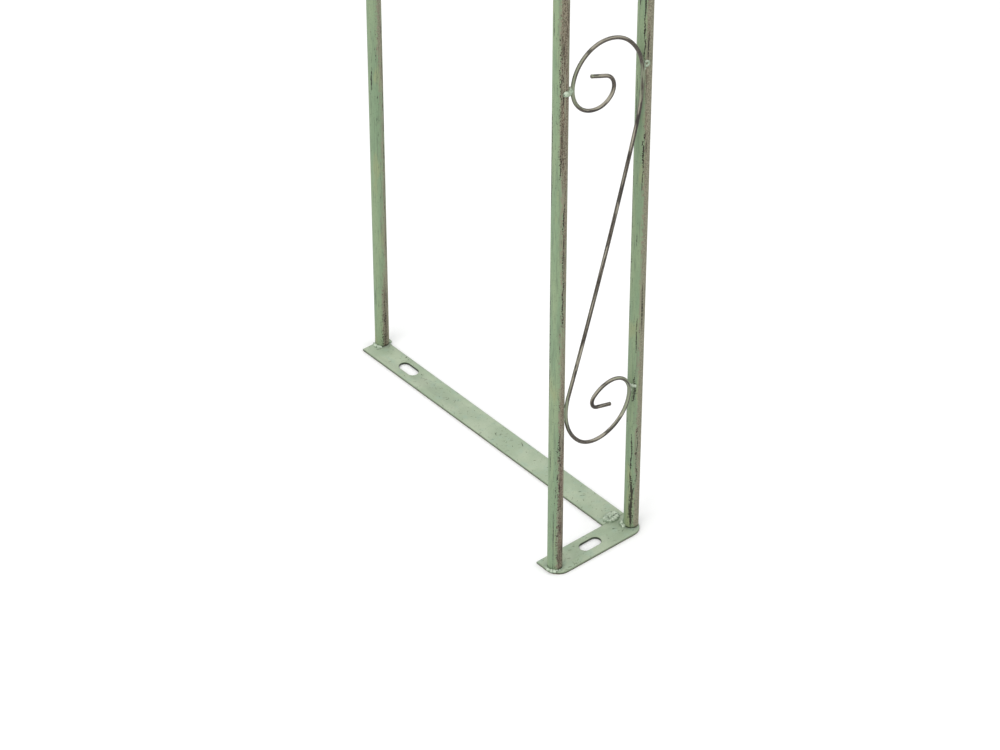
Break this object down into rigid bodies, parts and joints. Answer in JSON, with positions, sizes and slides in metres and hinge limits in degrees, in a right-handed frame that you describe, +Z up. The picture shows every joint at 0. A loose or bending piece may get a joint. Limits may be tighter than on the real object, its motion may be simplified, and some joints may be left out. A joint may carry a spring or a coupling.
{
  "type": "garden rose arch",
  "caption": "Free-standing garden arch of round tube: paired front posts filled with wire scrolls, single back posts joined by rungs, slotted flat-bar feet.",
  "frame": {"origin": "on the ground, under the middle of the passage and midway between the foot's front edge and the rear screw heads", "axes": "+X to the right seen from the front, +Y from the scrolled front frame to the back frame, +Z up"},
  "size_m": [1.434, 0.4462, 2.465],
  "materials": {
    "tube_paint": "distressed sage green paint, rubbed through to dark brown along the tubes",
    "bar_paint": "pale sage green paint with fine scratches and darker edges",
    "wire_paint": "dark grey-brown wire with traces of sage green paint",
    "weld_paint": "weld beads under pale mint green paint",
    "zinc_fasteners": "bright zinc plate",
    "insert_steel": "plain drawn steel tube"
  },
  "bodies": {
    "root": {"left_front_foot_bar": "bar_paint", "left_side_foot_bar": "bar_paint", "left_outer_front_post": "tube_paint", "left_inner_front_post": "tube_paint", "left_back_post": "tube_paint", "left_foot_welds": "weld_paint", "left_lower_scroll": "wire_paint", "left_middle_scroll": "wire_paint", "left_upper_scroll": "wire_paint", "left_scroll_welds": "weld_paint", "left_side_rungs": "tube_paint", "left_rung_welds": "weld_paint", "left_outer_front_arch": "tube_paint", "left_inner_front_arch": "tube_paint", "left_back_arch": "tube_paint", "left_lower_arch_scroll": "wire_paint", "left_upper_arch_scroll": "wire_paint", "left_arch_scroll_welds": "weld_paint", "left_roof_rungs": "tube_paint", "left_roof_rung_welds": "weld_paint", "left_leg_spigots": "insert_steel", "left_leg_screws": "zinc_fasteners", "left_leg_nuts": "zinc_fasteners", "right_front_foot_bar": "bar_paint", "right_side_foot_bar": "bar_paint", "right_outer_front_post": "tube_paint", "right_inner_front_post": "tube_paint", "right_back_post": "tube_paint", "right_foot_welds": "weld_paint", "right_lower_scroll": "wire_paint", "right_middle_scroll": "wire_paint", "right_upper_scroll": "wire_paint", "right_scroll_welds": "weld_paint", "right_side_rungs": "tube_paint", "right_rung_welds": "weld_paint", "right_outer_front_arch": "tube_paint", "right_inner_front_arch": "tube_paint", "right_back_arch": "tube_paint", "right_lower_arch_scroll": "wire_paint", "right_upper_arch_scroll": "wire_paint", "right_arch_scroll_welds": "weld_paint", "right_roof_rungs": "tube_paint", "right_roof_rung_welds": "weld_paint", "right_leg_spigots": "insert_steel", "right_leg_screws": "zinc_fasteners", "right_leg_nuts": "zinc_fasteners", "crown_spigots": "insert_steel", "crown_screws": "zinc_fasteners", "crown_nuts": "zinc_fasteners"}
  },
  "joints": []
}
